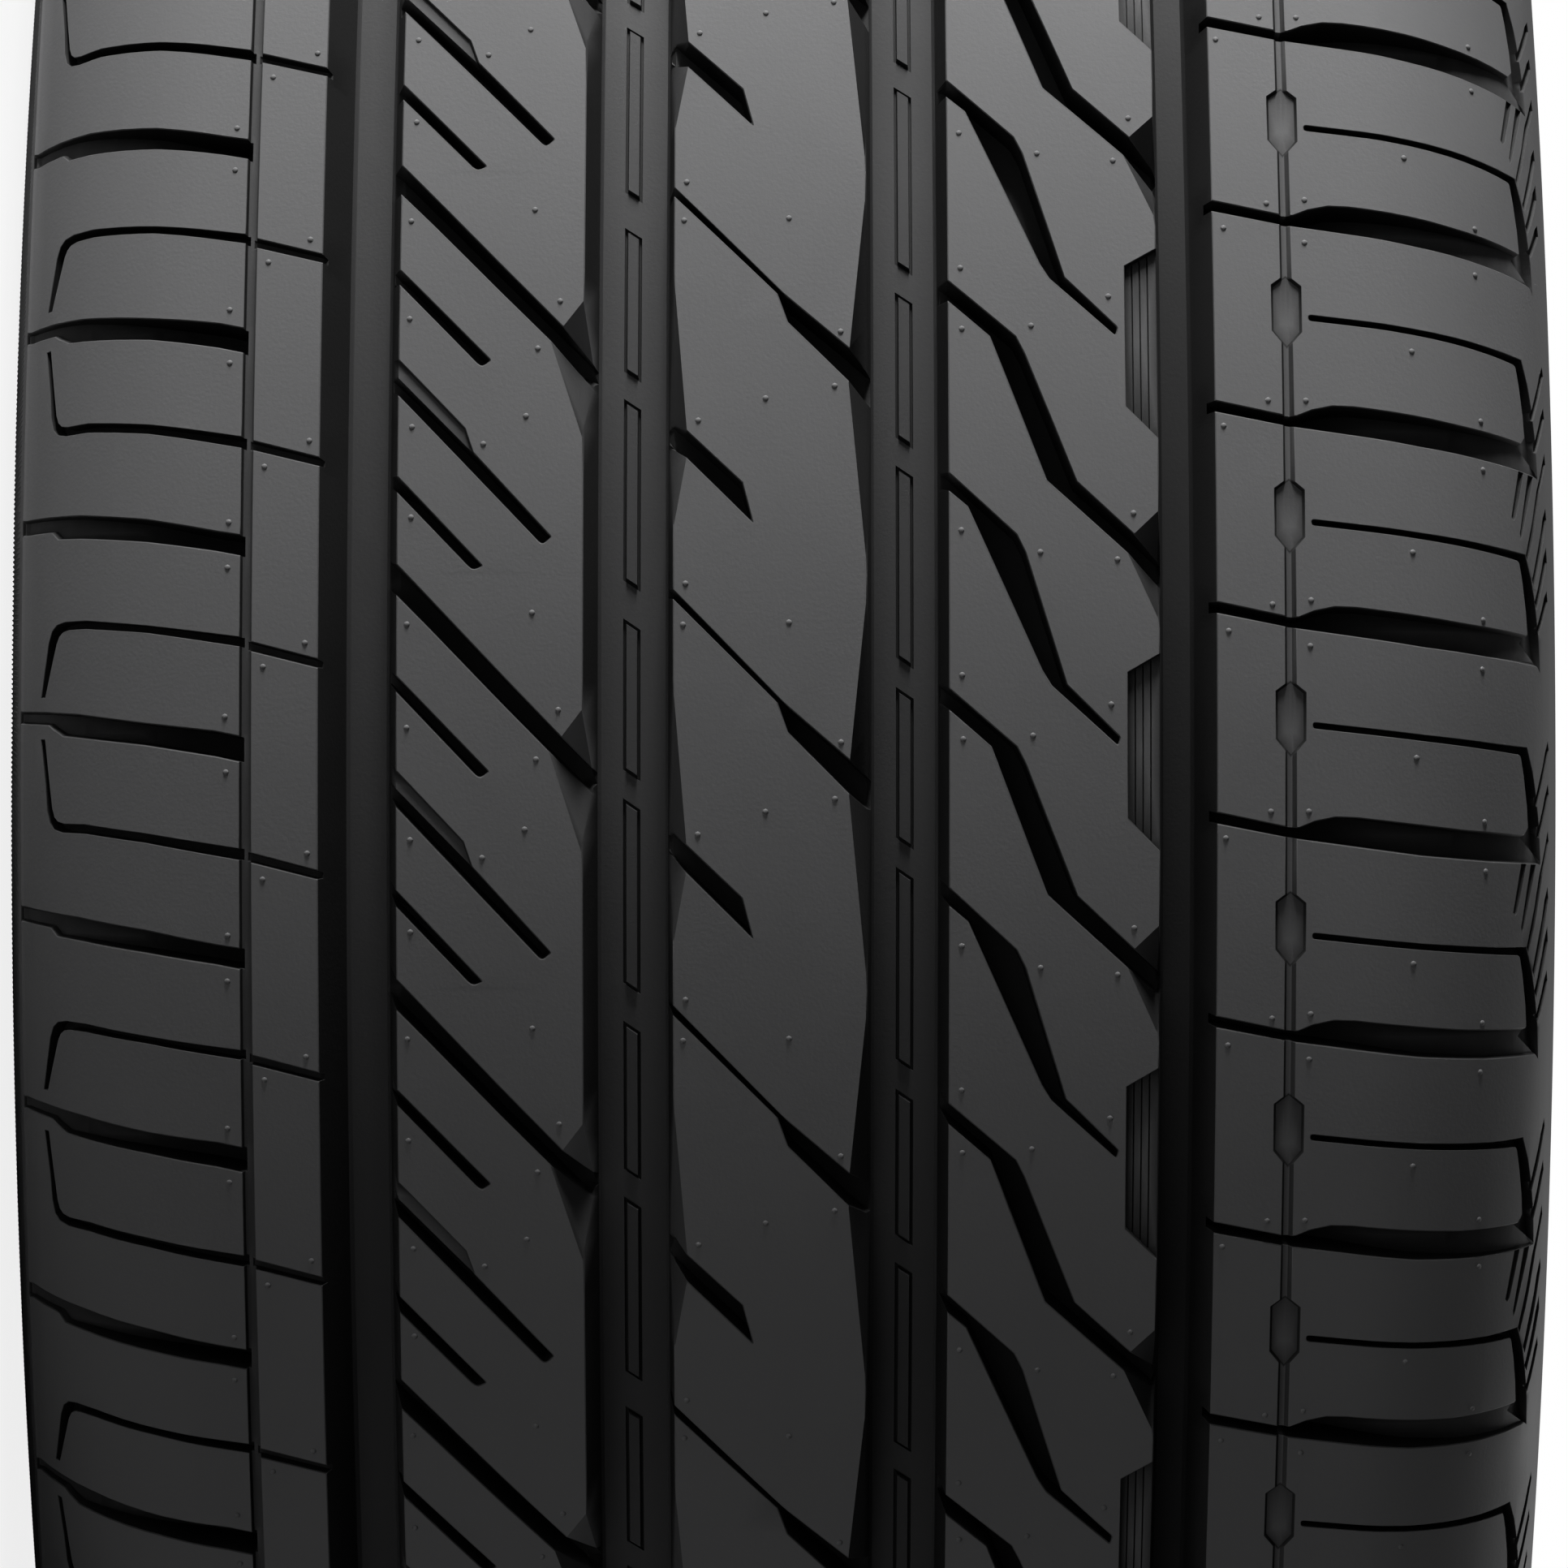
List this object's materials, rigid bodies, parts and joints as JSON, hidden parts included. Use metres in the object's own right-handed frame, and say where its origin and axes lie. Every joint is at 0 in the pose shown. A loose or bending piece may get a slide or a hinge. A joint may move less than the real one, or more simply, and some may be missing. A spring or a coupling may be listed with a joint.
{
  "type": "car tyre",
  "caption": "Tubeless radial road tyre with an asymmetric ribbed tread, plain sidewalls and two bead seats for a wheel rim.",
  "frame": {"origin": "centre of the wheel, on the axle line, half-way between the two sidewalls", "axes": "+Z along the axle line; the tyre lies on its lower sidewall, and the outer side of the tread is up"},
  "size_m": [0.6342, 0.6342, 0.228],
  "materials": {
    "rubber": "satin black rubber"
  },
  "bodies": {
    "root": {"tyre": "rubber"}
  },
  "joints": []
}
